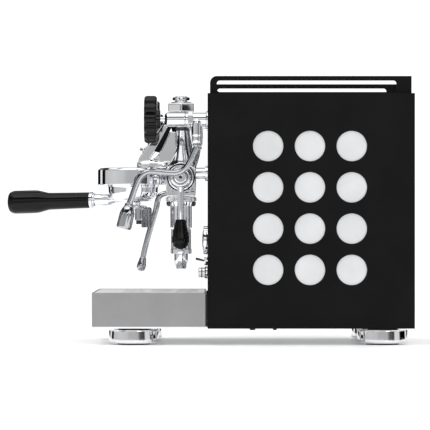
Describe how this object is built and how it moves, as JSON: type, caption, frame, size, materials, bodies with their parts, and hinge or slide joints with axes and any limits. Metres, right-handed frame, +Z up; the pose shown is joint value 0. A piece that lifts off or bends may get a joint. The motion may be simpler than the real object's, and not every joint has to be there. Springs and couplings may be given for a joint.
{
  "type": "espresso machine",
  "caption": "Compact lever espresso machine with a black perforated housing, chromed brew group and portafilter, steam and water wands, drip tray and cup rail.",
  "frame": {"origin": "on the table, under the middle of the whole machine's box", "axes": "+Z up, -Y towards the user at the front, +X to the machine's right as its user sees it"},
  "size_m": [0.274, 0.5473, 0.3547],
  "materials": {
    "polished_steel": "mirror-polished stainless sheet",
    "black_paint": "fine satin black powder coat",
    "satin_liner": "satin pale metal sheet",
    "brushed_steel": "brushed stainless steel",
    "chrome": "bright chrome plate on brass",
    "black_gloss": "glossy black moulded resin",
    "black_rubber": "matt black rubber",
    "black_plastic": "matt black moulded plastic",
    "dark_steel": "dark blackened steel",
    "copper": "drawn copper",
    "brass": "machined brass",
    "clear_plastic": "clear moulded plastic",
    "white_enamel": "white dial face",
    "clear_glass": "clear glass"
  },
  "bodies": {
    "chassis": {"base_frame": "polished_steel", "base_plugs": "black_rubber", "front_panel": "polished_steel", "back_panel": "polished_steel", "side_panel_left": "black_paint", "side_panel_right": "black_paint", "side_liner_left": "satin_liner", "side_liner_right": "satin_liner", "top_deck": "polished_steel", "tank_shelf": "brushed_steel", "boiler": "copper", "boiler_flange": "brass", "boiler_cradle": "brushed_steel", "safety_valve": "brass", "pump": "black_plastic", "control_box": "black_plastic", "copper_pipes": "copper", "suction_hose": "clear_plastic", "thermosyphon_pipes": "chrome", "mains_inlet": "black_plastic", "group_body": "chrome", "group_cap": "chrome", "group_bell": "chrome", "group_gasket": "black_rubber", "shower_screen": "brushed_steel", "group_plug": "chrome", "infusion_chamber": "chrome", "drain_nozzle": "chrome", "group_screws": "dark_steel", "steam_valve": "chrome", "water_valve": "chrome", "gauge_case": "chrome", "gauge_dial": "white_enamel", "gauge_glass": "clear_glass", "switch_body": "chrome", "pilot_lamp": "chrome", "foot_cups": "chrome", "foot_rubbers": "black_rubber"},
    "cup_rail": {"cup_rail": "black_paint"},
    "water_tank": {"water_tank": "clear_plastic"},
    "tank_lid": {"tank_lid": "polished_steel"},
    "drip_tray": {"drip_tray": "brushed_steel"},
    "drip_grille": {"drip_grille": "brushed_steel"},
    "brew_lever": {"brew_lever": "chrome", "lever_grip": "black_gloss"},
    "portafilter": {"portafilter_body": "chrome", "filter_basket": "brushed_steel", "handle_ferrule": "chrome", "portafilter_handle": "black_gloss", "double_spout": "chrome"},
    "steam_knob": {"steam_knob": "black_gloss", "steam_spindle": "chrome"},
    "water_knob": {"water_knob": "black_gloss", "water_spindle": "chrome"},
    "steam_wand": {"steam_wand": "chrome", "steam_tip": "chrome"},
    "water_wand": {"water_wand": "chrome", "water_tip": "chrome"},
    "gauge_needle": {"gauge_needle": "black_plastic"},
    "power_toggle": {"power_toggle": "chrome"}
  },
  "joints": [
    {"name": "brew_lever_lift", "type": "hinge", "parent": "chassis", "child": "brew_lever", "pos_m": [0.056, -0.0365, 0.2225], "axis": [-1, 0, 0], "range_deg": [0, 60]},
    {"name": "portafilter_twist", "type": "hinge", "parent": "chassis", "child": "portafilter", "pos_m": [0, -0.1015, 0.216], "axis": [0, 0, -1], "range_deg": [-10, 45]},
    {"name": "steam_knob_turn", "type": "hinge", "parent": "chassis", "child": "steam_knob", "pos_m": [-0.095, -0.07, 0.2985], "axis": [0, -1, 0], "range_deg": [0, 540]},
    {"name": "water_knob_turn", "type": "hinge", "parent": "chassis", "child": "water_knob", "pos_m": [0.095, -0.07, 0.2985], "axis": [0, -1, 0], "range_deg": [0, 540]},
    {"name": "steam_wand_swivel", "type": "hinge", "parent": "chassis", "child": "steam_wand", "pos_m": [-0.099, -0.0146, 0.272], "axis": [0, 0, -1], "range_deg": [-5, 70]},
    {"name": "water_wand_swivel", "type": "hinge", "parent": "chassis", "child": "water_wand", "pos_m": [0.099, -0.0146, 0.272], "axis": [0, 0, 1], "range_deg": [-5, 70]},
    {"name": "gauge_needle_swing", "type": "hinge", "parent": "chassis", "child": "gauge_needle", "pos_m": [0.072, -0.0025, 0.138], "axis": [0, 1, 0], "range_deg": [0, 270]},
    {"name": "power_toggle_flip", "type": "hinge", "parent": "chassis", "child": "power_toggle", "pos_m": [0.072, -0.002, 0.11], "axis": [1, 0, 0], "range_deg": [0, 28]},
    {"name": "drip_tray_slide", "type": "slide", "parent": "chassis", "child": "drip_tray", "axis": [0, -1, 0], "range_m": [0, 0.12]},
    {"name": "drip_grille_lift", "type": "slide", "parent": "drip_tray", "child": "drip_grille", "axis": [0, 0, 1], "range_m": [0, 0.018]},
    {"name": "water_tank_lift", "type": "slide", "parent": "chassis", "child": "water_tank", "axis": [0, 0, 1], "range_m": [0, 0.25]},
    {"name": "tank_lid_lift", "type": "slide", "parent": "water_tank", "child": "tank_lid", "axis": [0, 0, 1], "range_m": [0, 0.05]},
    {"name": "cup_rail_lift", "type": "slide", "parent": "chassis", "child": "cup_rail", "axis": [0, 0, 1], "range_m": [0, 0.03]}
  ]
}
